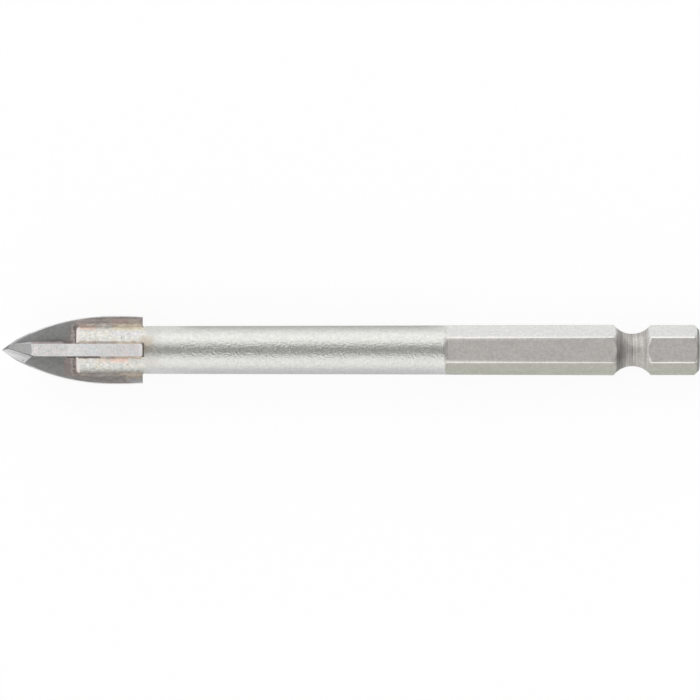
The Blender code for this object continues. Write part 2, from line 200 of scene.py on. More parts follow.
def joined(patches):
    """Several (points, faces, material) patches as one list of points, of faces and of materials."""
    points, faces, slots = [], [], []
    count = 0
    for place, quads, slot in patches:
        place = np.asarray(place, float).reshape(-1, 3)
        points.append(place)
        faces += [[int(index) + count for index in face] for face in quads]
        slots += [slot] * len(quads)
        count += len(place)
    return np.concatenate(points), faces, slots


def as_mesh(name, shape):
    """A mesh of the shape, which is freed."""
    mesh = bpy.data.meshes.new(name)
    shape.to_mesh(mesh)
    shape.free()
    return mesh


def linked(name, data):
    """An object that holds the data, in the scene."""
    item = bpy.data.objects.new(name, data)
    bpy.context.scene.collection.objects.link(item)
    return item


def about_axis(angle):
    """Rotation about the bit's axis, as an array that follows the points in a product."""
    return np.array(Matrix.Rotation(angle, 3, "Z")).T


def round_axis(radius, angle, s):
    """Points at a radius and an angle round the bit's axis, at the station s."""
    return np.stack([radius * np.cos(angle), radius * np.sin(angle), s + 0 * angle], -1)


def welded(name, patches, merge=0.0002 * MM):
    """A bmesh of the patches, with equal points merged and the faces turned outwards."""
    points, faces, slots = joined(patches)
    mesh = bpy.data.meshes.new(name)
    mesh.from_pydata(points.tolist(), [], faces)
    mesh.polygons.foreach_set("material_index", slots)
    shape = bmesh.new()
    shape.from_mesh(mesh)
    bpy.data.meshes.remove(mesh)
    bmesh.ops.remove_doubles(shape, verts=shape.verts, dist=merge)
    bmesh.ops.dissolve_degenerate(shape, edges=shape.edges, dist=merge)
    bmesh.ops.recalc_face_normals(shape, faces=shape.faces)
    return shape


def placed(name, shape, materials, replaces, edge=None, angle=SHARP, edge_slot=-1):
    """A finished piece: the shape laid down, shaded smooth, with its edge chamfer and its frame calls.

    Edges sharper than the angle get the chamfer, or stay sharp where there is none. The chamfer takes
    the finish of edge_slot, or of its neighbours where that is -1.
    """
    mesh = as_mesh(name, shape)
    points = np.empty(len(mesh.vertices) * 3)
    mesh.vertices.foreach_get("co", points)
    mesh.vertices.foreach_set("co", laid_down(points.reshape(-1, 3)).ravel())
    mesh.update()
    mesh.shade_smooth()
    for material in materials:
        mesh.materials.append(material)
    piece = linked(name, mesh)
    if edge:
        bevel = piece.modifiers.new("edges", "BEVEL")
        bevel.width = edge
        bevel.segments = 2
        bevel.limit_method = "ANGLE"
        bevel.angle_limit = math.radians(angle)
        bevel.use_clamp_overlap = False
        bevel.harden_normals = True
        bevel.material = edge_slot
    else:
        mesh.set_sharp_from_angle(angle=math.radians(angle))
    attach(piece, BODY)
    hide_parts(*replaces)
    return piece


def smooth_min(a, b, width):
    """The lesser of two arrays, with the corner between them rounded over the width."""
    share = np.clip(0.5 + 0.5 * (b - a) / width, 0, 1)
    return b + (a - b) * share - width * share * (1 - share)


def stations(*spans):
    """Stations along the axis, in metres: (start, stop, steps) spans in millimetres that follow on."""
    parts = [np.linspace(start, stop, steps, endpoint=False) for start, stop, steps in spans]
    return np.concatenate(parts + [[spans[-1][1]]]) * MM


def ripple(t, seed, waves=5, low=1.0, high=9.0):
    """An uneven line in about -1 to 1: a sum of sines of t whose lengths and phases come from the seed."""
    source = np.random.default_rng(seed)
    rates = source.uniform(low, high, waves)
    phases = source.uniform(0, 2 * math.pi, waves)
    return sum(np.sin(t * rate + phase) for rate, phase in zip(rates, phases)) / waves ** 0.5 * 0.8


def head_radius(s, head):
    """Radius of the head: an arc from the ogive's tip diameter to the full one, a land, and a back taper.

    The arc is tangent to the full diameter. In front of the tip the radius stays what it is there.
    """
    full = head.diameter / 2
    rise = full - head.ogive_tip / 2
    arc = (head.ogive ** 2 + rise ** 2) / (2 * rise)
    short = np.clip(head.ogive - s, 0, head.ogive)
    ogive = full - arc + np.sqrt(arc ** 2 - short ** 2)
    land_end = head.ogive + head.land
    loss = head.back_taper * np.clip((s - land_end) / (head.blade_length - land_end), 0, 1)
    return ogive - loss


def shank_radius(s, angle, sizes):
    """Radius of the shank: the least of the turned outline, the groove's arc and the nearest flat.

    A flat at distance d from the axis stands at d / cos(angle from its middle). In front of the hex the
    distance grows at the run-out's slope. The corners between the surfaces are slightly rounded: most on
    the hex, least at the groove and the end.
    """
    hex_start = sizes.length - sizes.hex_length
    groove = sizes.length - sizes.groove_place
    mouth = 2.6 * MM
    chamfer = (sizes.corner_end - sizes.end_face) / 2
    marks = [sizes.slot_end, hex_start, hex_start + sizes.step, groove - mouth, groove + mouth,
             sizes.length - chamfer, sizes.length]
    widths = [sizes.front_diameter, sizes.rear_diameter, sizes.corner_front, sizes.corner_rear,
              sizes.corner_end, sizes.corner_end, sizes.end_face]
    turned = np.interp(s, marks, widths) / 2
    offset = np.clip(s - groove, -0.999 * sizes.groove_arc, 0.999 * sizes.groove_arc)
    arc = sizes.groove_diameter / 2 + sizes.groove_arc - np.sqrt(sizes.groove_arc ** 2 - offset ** 2)
    turned = np.minimum(turned, arc)
    distance = sizes.flats / 2 + np.clip(hex_start - s, 0, None) * math.tan(sizes.run_out)
    flat = distance / np.cos(angle % (math.pi / 3) - math.pi / 6)
    marks = [hex_start, hex_start + 0.2 * MM, groove - 3.4 * MM, groove - 3 * MM]
    rounding = np.interp(s, marks, [0.07 * MM, 0.13 * MM, 0.13 * MM, 0.03 * MM])
    return smooth_min(turned, flat, rounding)


def ring_angles(sizes):
    """Angles of the points round the shank: a set that keeps to the slots, and one for the hex corners.

    The points crowd beside the slots' middles and beside the corners.
    """
    sets = []
    slot = math.asin(SLOT_HALF / (sizes.front_diameter / 2))
    for near, parts, few, many in ((slot, 4, 6, 48), (math.radians(5), 6, 8, 24)):
        span = 2 * math.pi / parts
        steps = ((0, near, few), (near, span - near, many), (span - near, span, few))
        part = np.concatenate([np.linspace(*step, endpoint=False) for step in steps])
        sets.append(np.concatenate([part + k * span for k in range(parts)]))
    return sets


def shank_body(sizes):
    """Patches of the shank behind the slots: a polar grid, and rings that close the end face.

    The points' angles change slowly along the plain shaft, from the slots' set to the hex corners' set.
    """
    s = stations((sizes.slot_end / MM, 62.6, 26), (62.6, 65.2, 40), (65.2, 87.0, 10), (87.0, 93.8, 96),
                 (93.8, 98.9, 5), (98.9, sizes.length / MM, 20))
    slots, corners = ring_angles(sizes)
    blend = np.clip((s - s[0]) / (60 * MM - s[0]), 0, 1)[:, None]
    angle = slots * (1 - blend) + corners * blend
    wall = round_axis(shank_radius(s[:, None] + 0 * angle, angle, sizes), angle, s[:, None])
    share = np.linspace(1, 0, 6)[:, None]
    end = np.stack([wall[-1, :, 0] * share, wall[-1, :, 1] * share, sizes.length + 0 * share * angle[0]], -1)
    return [(wall, grid_quads(*angle.shape, wrap=True), 0),
            (end, grid_quads(6, angle.shape[1], wrap=True), 0)]


def lobe_patches(turn, sizes):
    """Patches of one of the four lobes between the slots: its outer arc, its two slot walls and its nose.

    The arc runs between the angles whose sine is the slot's half width over the radius. At the nose the
    radius drops along a quarter of an ellipse. The nose is a fan from the lobe's inner corner to the arc.
    """
    rows = stations((0, 0.5, 10), (0.5, 9.2, 26), (9.2, (sizes.slot_end - sizes.nose) / MM, 4)) + sizes.nose
    short = np.clip(1 - (rows - sizes.nose) / sizes.nose_round, 0, 1)
    radius = (sizes.front_diameter / 2 - sizes.nose_drop * (1 - np.sqrt(1 - short ** 2)))[:, None]
    limit = np.arcsin(SLOT_HALF / radius)
    t = np.linspace(0, 1, 49)[None, :]
    arc = round_axis(radius, limit + t * (math.pi / 2 - 2 * limit), rows[:, None])
    corner = np.stack([0 * rows + SLOT_HALF, 0 * rows + SLOT_HALF, rows], -1)
    w = np.linspace(0, 1, 7)[None, :, None]
    first = arc[:, :1] * (1 - w) + corner[:, None] * w
    last = arc[:, -1:] * (1 - w) + corner[:, None] * w
    nose = arc[:1].transpose(1, 0, 2) * (1 - w) + corner[:1][None] * w
    return [(patch @ about_axis(turn), grid_quads(*patch.shape[:2]), 0) for patch in (arc, first, last, nose)]


def slot_floor(sizes):
    """Patches of the slots' end face: the square at the crossing and four arms out to the shaft's surface."""
    radius = sizes.front_diameter / 2
    side = np.linspace(-SLOT_HALF, SLOT_HALF, 13)
    x, y = np.meshgrid(side, side, indexing="ij")
    patches = [(np.stack([x, y, 0 * x + sizes.slot_end], -1), grid_quads(13, 13), 0)]
    outer = round_axis(radius, math.asin(SLOT_HALF / radius) * np.linspace(-1, 1, 13), sizes.slot_end)
    inner = np.stack([0 * side + SLOT_HALF, side, 0 * side + sizes.slot_end], -1)
    w = np.linspace(0, 1, 7)[:, None, None]
    arm = outer[None] * (1 - w) + inner[None] * w
    return patches + [(arm @ about_axis(k * math.pi / 2), grid_quads(7, 13), 0) for k in range(4)]


def gash_planes(head):
    """Floor and rear wall of the rake gash beside the upper side blade, in bit coordinates (x, y, s).

    The floor holds the tip and the line where the facet leaves the blade's face. The walls stand along
    the floor's normal, on the lines from the gash's corner to the tip and to the inner end of that line.
    """
    half = head.thickness / 2
    inside = Vector((-half, half, head.gash_inside))
    outside = Vector((-float(head_radius(np.array(head.gash_outside), head)), half, head.gash_outside))
    normal = outside.cross(inside).normalized()
    x, s = head.gash_offset, head.gash_start
    corner = Vector((x, -(normal.x * x + normal.z * s) / normal.y, s))
    wall = normal.cross(inside - corner).normalized()
    return normal, corner, inside, wall if wall.x < 0 else -wall


def end_caps(rows, columns):
    """The faces that close the first and the last ring of a grid."""
    return [list(range(columns)), list(range((rows - 1) * columns, rows * columns))]


def prism_cutter(name, outline, offset, slots):
    """Cutter with a flat outline carried along the offset; slots are the materials of its sides, in order."""
    outline, offset = np.asarray(outline, float), np.asarray(offset, float)
    count = len(outline)
    sides = [((i, (i + 1) % count, (i + 1) % count + count, i + count),) for i in range(count)]
    points = np.concatenate([outline, outline + offset])
    patches = [(points, [tuple(range(count)), tuple(range(count, 2 * count))], slots[0])]
    patches += [(points, side, slot) for side, slot in zip(sides, slots[1:])]
    return linked(name, as_mesh(name, welded(name, patches)))


def gash_cutter(name, head, turn):
    """Cutter of one gash: its outline on the gash's floor, raised along the floor's normal."""
    normal, corner, inside, _ = gash_planes(head)
    reach = head.diameter / 2
    beyond = Vector((-reach, normal.x * reach / normal.y, 0))
    outline = np.array([corner * -2, beyond, corner + (inside - corner) * 2, corner])
    rotation = about_axis(turn)
    return prism_cutter(name, outline @ rotation, np.array(normal) * reach @ rotation, (3, 3, 3, 4, 4))


def side_relief_lines(head):
    """Rear end, direction and outward direction, as (y, s), of the flat relief that runs from the tip."""
    low = float(head_radius(np.array(head.side_relief), head))
    rear = Vector((math.sqrt(low ** 2 - (head.thickness / 2) ** 2), head.side_relief))
    slope = rear.normalized()
    return rear, slope, Vector((slope.y, -slope.x))


def side_relief_cutter(name, head):
    """Cutter of the upper side blade's relief: flat from the tip to its rear end, then up the short step."""
    rear, slope, outward = side_relief_lines(head)
    step = Vector((math.sin(head.relief_step), math.cos(head.relief_step)))
    low = slope * -2 * MM
    outline = [low, low + outward * 4 * MM, rear + step * 2 * MM, rear]
    points = [(-head.thickness, y, s) for y, s in outline]
    return prism_cutter(name, points, (2 * head.thickness, 0, 0), (2, 2, 2, 2, 2))


def cut(shape, point, outward, slot):
    """Cuts away what lies outward of a plane, and closes the cut with a face of that material slot."""
    geometry = shape.verts[:] + shape.edges[:] + shape.faces[:]
    result = bmesh.ops.bisect_plane(shape, geom=geometry, dist=0.0001 * MM, plane_co=point, plane_no=outward,
                                    clear_outer=True)
    edges = [item for item in result["geom_cut"] if isinstance(item, bmesh.types.BMEdge)]
    for face in bmesh.ops.edgenet_fill(shape, edges=edges, mat_nr=slot)["faces"]:
        face.material_index = slot


def carved(shape, cutters, materials):
    """The shape with the cutters taken from it; the new faces take the cutters' material slot."""
    blank = linked("carved", as_mesh("carved", shape))
    for item in [blank] + cutters:
        for material in materials:
            item.data.materials.append(material)
    for cutter in cutters:
        modifier = blank.modifiers.new("cut", "BOOLEAN")
        modifier.operation = "DIFFERENCE"
        modifier.solver = "EXACT"
        modifier.material_mode = "TRANSFER"
        modifier.object = cutter
    depsgraph = bpy.context.evaluated_depsgraph_get()
    result = bpy.data.meshes.new_from_object(blank.evaluated_get(depsgraph))
    for item in [blank] + cutters:
        bpy.data.objects.remove(item, do_unlink=True)
    shape = bmesh.new()
    shape.from_mesh(result)
    bpy.data.meshes.remove(result)
    bmesh.ops.remove_doubles(shape, verts=shape.verts, dist=0.02 * MM)
    bmesh.ops.dissolve_degenerate(shape, edges=shape.edges, dist=0.001 * MM)
    return shape


def head_stations(head, start):
    """Stations of the blades: close along the ogive and at the rounded rear corners, wide on the land."""
    ogive, land = head.ogive / MM, (head.ogive + head.land) / MM
    rear = (head.blade_length - head.rear_round) / MM
    return stations((start, 0.2 * ogive, 14), (0.2 * ogive, 0.8 * ogive, 24), (0.8 * ogive, ogive, 4),
                    (ogive, land, 3), (land, rear, 4), (rear, head.blade_length / MM, 7))


def main_blank(head):
    """Patches of the main blade before its facets: at each station the head's circle, cut off at the faces.

    Each ring holds the two arcs between the faces, and one quad spans each face. The rear end is a cap
    that curves slightly forwards towards the corners.
    """
    s = head_stations(head, -0.4)
    radius = head_radius(s, head)
    half = head.thickness / 2
    limit = np.arcsin(np.clip(half / np.maximum(radius, 1e-9), 0, 1))[:, None]
    t = np.linspace(-1, 1, 9)[None, :]
    angle = np.concatenate([limit * t, math.pi + limit * t], 1)
    x, y = radius[:, None] * np.cos(angle), radius[:, None] * np.sin(angle)
    bow, reach = 0.09 * MM, 4.9 * MM
    along = s[:, None] - bow * (x / reach) ** 2 * (s[:, None] / head.blade_length) ** 12
    rings = np.stack([x, y, along], -1)
    quads = grid_quads(len(s), 18, wrap=True)
    land = quads[:, 0] % 9 != 8
    return [(rings, quads[land], 1), (rings, quads[~land], 0), (rings, end_caps(len(s), 18), 0)]


def side_blank(head):
    """Patches of the upper side blade before its facets: a strip of the head's round above a flat seat.

    Across the top the points lie on the head's circle, at x from side to side; below them is the seat.
    At the rear end the width shrinks along a quarter circle on each side.
    """
    half = head.thickness / 2
    seat = half + head.braze_layer
    s = head_stations(head, 1.5)
    radius = head_radius(s, head)[:, None]
    wide = np.minimum(half, np.sqrt(np.clip(radius ** 2 - seat ** 2, 0, None)))
    past = np.clip(1 - (head.blade_length - s) / head.rear_round, 0, 1)[:, None]
    wide = wide - head.rear_round * (1 - np.sqrt(1 - past ** 2))
    x = wide * np.linspace(1, -1, 13)[None, :]
    top = np.stack([x, np.sqrt(radius ** 2 - x ** 2), s[:, None] + 0 * x], -1)
    base = np.stack([x[:, [12, 0]], seat + 0 * x[:, [12, 0]], s[:, None] + 0 * x[:, [12, 0]]], -1)
    rings = np.concatenate([top, base], 1)
    quads = grid_quads(len(s), 15, wrap=True)
    land = quads[:, 0] % 15 < 12
    return [(rings, quads[land], 1), (rings, quads[~land], 0), (rings, end_caps(len(s), 15), 0)]


def half_turn(shape):
    """The shape turned half round the bit's axis."""
    bmesh.ops.rotate(shape, cent=(0, 0, 0), matrix=Matrix.Rotation(math.pi, 3, "Z"), verts=shape.verts)
    return shape


def puddle(head, seed, quarter):
    """Patches of the braze in front of one lobe: a height over the blade's face, closed below.

    The height follows a concave fillet that climbs from its front edge to the nose, and another that
    climbs to the side blade. Sines of both parameters make it lumpy, and so is its front edge.
    """
    half = head.thickness / 2
    u = np.linspace(0, 1, 41)[None, :]
    v = np.linspace(0, 1, 31)[:, None]
    outer, rear, fillet = 3.7 * MM, 11.02 * MM, 3.02 * MM
    x = half - SUNK + u * (outer - half) + 0 * v
    front = (8.95 + 0.14 * ripple(u * 6, seed) + 0.5 * np.clip(u - 0.75, 0, 1)) * MM
    s = front + v * (rear - front)
    room = np.sqrt(np.clip(fillet ** 2 - x ** 2, 0, None)) - half
    rise = np.maximum(room, 0.1 * MM) * (1 - np.sqrt(1 - (0.98 * v) ** 2)) * 0.9
    ridge = 0.12 * MM * np.exp(-((s / MM - 10.35) / 0.16) ** 2) * (1 + 0.5 * ripple(u * 9, seed + 1))
    climb = 0.75 * MM * np.exp(-(x - half) / (0.22 * MM)) * np.clip(v * 3, 0, 1)
    lumps = 0.035 * MM * ripple(u * 14 + 3 * v, seed + 2) * ripple(v * 9 - 2 * u, seed + 3)
    height = (rise + ridge + climb + lumps) * np.clip(v * 6, 0, 1) * np.clip((1 - u) * 10, 0, 1)
    top = np.stack([x, half + 0.012 * MM * (v > 0) * (u < 1) + np.clip(height, 0, None), s + 0 * x], -1)
    low = top.copy()
    low[..., 1] = half - 0.03 * MM
    rotation = np.diag([quarter[0], quarter[1], 1.0])
    rims = [np.stack([top[0], low[0]]), np.stack([top[-1], low[-1]]),
            np.stack([top[:, 0], low[:, 0]]), np.stack([top[:, -1], low[:, -1]])]
    return [(patch @ rotation, grid_quads(*patch.shape[:2]), 0) for patch in [top, low] + rims]


def bead(start, stop, path, quarter):
    """Patches of a bead: a closed section carried along the axis.

    path gives, for the stations, the section's corners as an array (stations, corners, 2) of x and y.
    """
    s = stations((start, stop, 90))
    section = path(s)
    columns = section.shape[1]
    rings = np.concatenate([section, np.repeat(s[:, None, None], columns, 1)], -1)
    rings = rings @ np.diag([quarter[0], quarter[1], 1.0])
    return [(rings, grid_quads(len(s), columns, wrap=True), 0), (rings, end_caps(len(s), columns), 0)]


def seam_section(seed, size, half):
    """Section of the bead in the corner of the two blades: a shallow curve between their faces."""
    def path(s):
        taper = np.clip((s - s[0]) / (2.4 * MM), 0.12, 1)
        wide = size * taper * (1 + 0.18 * ripple(s / MM * 0.8, seed))
        tall = size * taper * (1 + 0.18 * ripple(s / MM * 0.8, seed + 1))
        turn = np.linspace(0, math.pi / 2, 6)[None, :]
        x = half + wide[:, None] * (1 - 0.85 * np.sin(turn) ** 1.4)
        y = half + tall[:, None] * (1 - 0.85 * np.cos(turn) ** 1.4)
        x[:, -1] = half - SUNK
        y[:, 0] = half - SUNK
        corner = np.full((len(s), 1), half - SUNK)
        return np.stack([np.concatenate([x, corner], 1), np.concatenate([y, corner], 1)], -1)
    return path


def strip_section(seed, by_side_blade, half, radius):
    """Section of the braze line between a blade's face and a lobe's outer edge.

    On one side it climbs the blade, on the other it laps a little over the lobe, and between them it is
    slightly round. It is lower and laps more beside the side blade than beside the main blade.
    """
    tall, wide = (0.16 * MM, 0.26 * MM) if by_side_blade else (0.46 * MM, 0.1 * MM)
    edge = math.sqrt(radius ** 2 - SLOT_HALF ** 2)

    def path(s):
        ends = np.clip((s - s[0]) / (0.3 * MM), 0.1, 1) * np.clip((s[-1] - s) / (0.3 * MM), 0.1, 1)
        climb = tall * ends * (1 + 0.2 * ripple(s / MM * 0.6, seed))
        lap = wide * ends * (1 + 0.35 * ripple(s / MM * 0.7, seed + 1))
        on_blade = np.stack([0 * s + half, edge + climb], -1)
        over = SLOT_HALF + lap
        on_lobe = np.stack([over, np.sqrt(radius ** 2 - over ** 2) + 0.008 * MM], -1)
        middle = (on_blade + on_lobe) / 2 + np.array([0.03, 0.03]) * MM
        sunk_lobe = on_lobe - np.array([0, 0.08]) * MM
        root = np.stack([0 * s + half + 0.05 * MM, 0 * s + edge - 0.4 * MM], -1)
        sunk_blade = on_blade - np.array([0.02, 0.02]) * MM
        section = np.stack([on_blade, middle, on_lobe, sunk_lobe, root, sunk_blade], 1)
        return section if by_side_blade else section[..., ::-1]
    return path


def slab(low, high):
    """A closed box between two corners, in millimetres, as one patch."""
    x, y, z = [(a * MM, b * MM) for a, b in zip(low, high)]
    points = [(i, j, k) for i in x for j in y for k in z]
    faces = [(0, 1, 3, 2), (4, 6, 7, 5), (0, 4, 5, 1), (2, 3, 7, 6), (0, 2, 6, 4), (1, 5, 7, 3)]
    return points, faces, 0


class Wire:
    """A shader socket that takes part in arithmetic: an expression on it adds Math nodes."""

    def __init__(self, graph, socket):
        self.graph, self.socket = graph, socket

    def maths(self, operation, first, second=0.0):
        return self.graph.node("ShaderNodeMath", {"operation": operation}, {0: first, 1: second})

    def __add__(self, other):
        return self.maths("ADD", self, other)

    def __sub__(self, other):
        return self.maths("SUBTRACT", self, other)

    def __rsub__(self, other):
        return self.maths("SUBTRACT", other, self)

    def __mul__(self, other):
        return self.maths("MULTIPLY", self, other)

    def __abs__(self):
        return self.maths("ABSOLUTE", self)

    __radd__ = __add__
    __rmul__ = __mul__


class Graph:
    """The node tree of one finish."""

    def __init__(self, tree):
        self.tree = tree
        self.tree.nodes.clear()

    def node(self, kind, settings=None, sockets=None, output=0):
        """Any node: its type, its settings, the values or links of its sockets, and the output wanted."""
        node = self.tree.nodes.new(kind)
        for key, value in (settings or {}).items():
            setattr(node, key, value)
        for key, value in (sockets or {}).items():
            if isinstance(value, Wire):
                self.tree.links.new(value.socket, node.inputs[key])
            else:
                node.inputs[key].default_value = value
        return Wire(self, node.outputs[output])

    def bit_place(self):
        """Object coordinates in millimetres along the bit: s, then x across, then y up."""
        tip, across, up, along = axes()
        dip = math.atan2(-along.z, along.x)
        offset = [-tip.dot(axis) / MM for axis in (along, across, up)]
        return self.node("ShaderNodeMapping", {"vector_type": "POINT"}, {
            "Vector": self.node("ShaderNodeTexCoord", output="Object"), "Location": offset,
            "Rotation": (0, -dip, 0), "Scale": (1 / MM, 1 / MM, 1 / MM)})

    def parts(self, vector):
        """The three numbers of a vector."""
        split = self.node("ShaderNodeSeparateXYZ", sockets={"Vector": vector})
        return [Wire(self, socket) for socket in split.socket.node.outputs]

    def scaled(self, vector, factors):
        """A vector multiplied number by number."""
        return self.node("ShaderNodeVectorMath", {"operation": "MULTIPLY"}, {0: vector, 1: factors})

    def noise(self, vector, scale, detail=3.0, rough=0.5, stretch=None):
        """Noise from nought to one; stretch multiplies the vector's three numbers first."""
        vector = self.scaled(vector, stretch) if stretch else vector
        return self.node("ShaderNodeTexNoise", {"noise_dimensions": "3D"}, {
            "Vector": vector, "Scale": scale, "Detail": detail, "Roughness": rough})

    def step(self, value, low, high, ends=(0.0, 1.0)):
        """A smooth step from nought at low to one at high."""
        return self.node("ShaderNodeMapRange", {"interpolation_type": "SMOOTHSTEP"}, {
            "Value": value, "From Min": low, "From Max": high, "To Min": ends[0], "To Max": ends[1]})

    def fall(self, value, low, high):
        """A smooth step from one at low to nought at high."""
        return self.step(value, low, high, (1.0, 0.0))

    def band(self, value, low, high, soft):
        """One between low and high, nought outside, with soft edges."""
        return self.step(value, low - soft, low + soft) * self.fall(value, high - soft, high + soft)

    def spot(self, s, x, area, soft):
        """One inside an area, given as s from, s to, x from and x to in millimetres, with soft edges."""
        return self.band(s, area[0], area[1], soft) * self.band(x, area[2], area[3], soft)

    def mix(self, share, first, second):
        """Two colours mixed by a share."""
        first, second = [c if isinstance(c, Wire) else (*c, 1.0) for c in (first, second)]
        return self.node("ShaderNodeMix", {"data_type": "RGBA"}, {0: share, 6: first, 7: second}, 2)

    def layered(self, colour, *layers):
        """A colour with others mixed over it in turn, each given as its share and its colour."""
        for share, tint in layers:
            colour = self.mix(share, colour, tint)
        return colour

    def tinted(self, colour, s, x, shift, soft, tints):
        """A colour with tints over it, each given as its area, colour and share; shift moves the edges."""
        for area, tint, share in tints:
            colour = self.mix(self.spot(s + shift, x + 0.25 * shift, area, soft) * share, colour, tint)
        return colour

    def shaded(self, colour, factor):
        """A colour made lighter or darker by a number."""
        factor = self.node("ShaderNodeCombineXYZ", sockets={0: factor, 1: factor, 2: factor})
        return self.scaled(colour, factor)

    def surface(self, colour, metallic, roughness, height, distance, strength=0.6):
        """The finish's Principled shader, with a bump from a height in parts of the distance, in mm."""
        bump = self.node("ShaderNodeBump", sockets={
            "Height": height, "Distance": distance * MM, "Strength": strength})
        self.output("ShaderNodeOutputMaterial", self.node("ShaderNodeBsdfPrincipled", sockets={
            "Base Color": colour, "Metallic": metallic, "Roughness": roughness, "Normal": bump}))

    def output(self, kind, shader):
        """The tree's output."""
        self.tree.links.new(shader.socket, self.tree.nodes.new(kind).inputs["Surface"])


def new_finish(name):
    """An empty material and its graph."""
    material = bpy.data.materials.new(name)
    material.use_nodes = True
    return material, Graph(material.node_tree)


def steel_finish(g, place, colours):
    """Satin steel: blasted shaft, brushed flats, turned groove, and a heated, mottled socket.

    The shaft's lower edge is neutral where the rest is faintly green. On the hex the flats parallel to
    the main blade are warmer and, as painted light, lighter; those on the upper side are lighter, also
    painted light; those on the lower side are greener and darker, the darkness painted shade, with a
    pinkish upper part; and the corners carry a painted highlight, stronger on the upper side. The flats'
    run-out is duller. Painted shade darkens the groove towards the shaft, most on its lower side, and the
    groove has one deeper turning mark; painted shade also darkens the end chamfer. A smooth pebbly bump
    breaks up the reflections on the shaft.
    """
    s, x, y = g.parts(place)
    grain = g.noise(place, 2.4, 4.0, 0.7)
    fine = g.noise(place, 7.0, 3.0, 0.6)
    pebble = g.noise(place, 4.0, 1.0, 0.5)
    broad = g.noise(place, 1.2, 3.0, 0.5, (0.25, 0.8, 0.8))
    brushed = g.noise(place, 1.6, 3.0, 0.6, (0.35, 9.0, 9.0))
    rings = g.noise(place, 1.2, 3.0, 0.7, (9.0, 0.15, 0.15))
    in_hex = g.step(s, 63.4, 63.8)
    in_socket = g.fall(s, 20.3, 21.0)
    in_groove = g.band(s, 88.1, 92.7, 0.25)
    nose = g.fall(s, 11.15, 11.35)
    near = g.fall(s, 21.0, 27.0)
    plain = (1 - in_hex) * (1 - near)
    on_flats = in_hex * (1 - in_groove) * g.fall(s, 99.66, 99.74)
    middle = on_flats * g.band(x, -1.83, 1.83, 0.04)
    lower = on_flats * g.fall(x, -1.9, -1.84)
    # Painted highlight along the hex corners and outline, stronger on the upper side.
    corner = g.band(abs(x), 1.77, 1.91, 0.03) * g.step(abs(y), 3.0, 3.1) + g.step(abs(x), 3.54, 3.6)
    corner = corner * on_flats * (0.1 + 0.5 * broad)
    corner = corner + corner * g.step(x, -0.1, 0.1) * 0.6
    colour = g.layered(
        colours.steel,
        ((1 - in_hex) * (1 - in_socket) * g.fall(x, -2.65, -2.4), (0.64, 0.635, 0.64)),
        # Middle flats: a warm tint, also made lighter as painted light.
        (middle * (0.7 + 0.3 * broad), colours.steel_warm),
        # Lower flats: a green tint, also made darker as painted shade.
        (lower * (0.6 + 0.6 * broad), (0.47, 0.475, 0.41)),
        (lower * g.step(x, -2.9, -2.3) * 0.7, (0.52, 0.49, 0.45)),
        # Upper flats: made lighter as painted light.
        (on_flats * g.step(x, 1.84, 1.9), (0.73, 0.735, 0.71)),
        (in_groove, (0.62, 0.595, 0.565)))
    level = 0.7 + 0.6 * grain + in_hex * (0.28 * brushed + 0.45 * fine - 0.365)
    colour = g.shaded(colour, level + near * (0.7 * fine - 0.35))
    colour = g.layered(colour, (corner, (0.94, 0.94, 0.93)),
                       (in_groove * g.step(rings, 0.42, 0.6) * 0.6, colours.steel_dark))
    score = g.band(s, 90.28, 90.36, 0.04)
    patch = g.spot(s, x, (90.0, 91.9, 0.5, 1.9), 0.5)
    # Painted shade on the groove's wall towards the shaft, most on its lower side; the score is a real turning
    # mark.
    shade = g.fall(s, 88.4, 89.6) * (0.1 + 0.3 * g.fall(x, -1.2, 0.4)) + 0.4 * score - 0.25 * patch
    # The last term is painted shade on the end chamfer.
    colour = g.shaded(colour, 1 - in_groove * shade - 0.4 * g.step(s, 99.55, 99.75))
    colour = socket_tints(g, colours, colour, place, s, x, in_socket, nose)
    colour = heat_stain(g, colours, colour, place, s, x)
    run_out = g.band(s, 63.42, 63.86, 0.05) * g.fall(abs(x), 1.6, 1.9)
    rough = 0.31 - 0.05 * plain + 0.06 * grain + 0.16 * in_socket + 0.1 * in_hex + 0.2 * in_groove
    rough = rough - 0.2 * corner + 0.2 * run_out
    height = grain * (1 - in_hex - plain) + 1.7 * pebble * plain + fine * (0.25 + 0.4 * near - 0.25 * plain)
    height = height + brushed * 0.25 * in_hex + rings * in_groove
    metal = 1 - 0.5 * in_socket - 0.4 * nose - 0.3 * g.band(s, 20.6, 22.5, 0.9) - 0.45 * run_out
    g.surface(colour, metal, rough, height, 0.07)


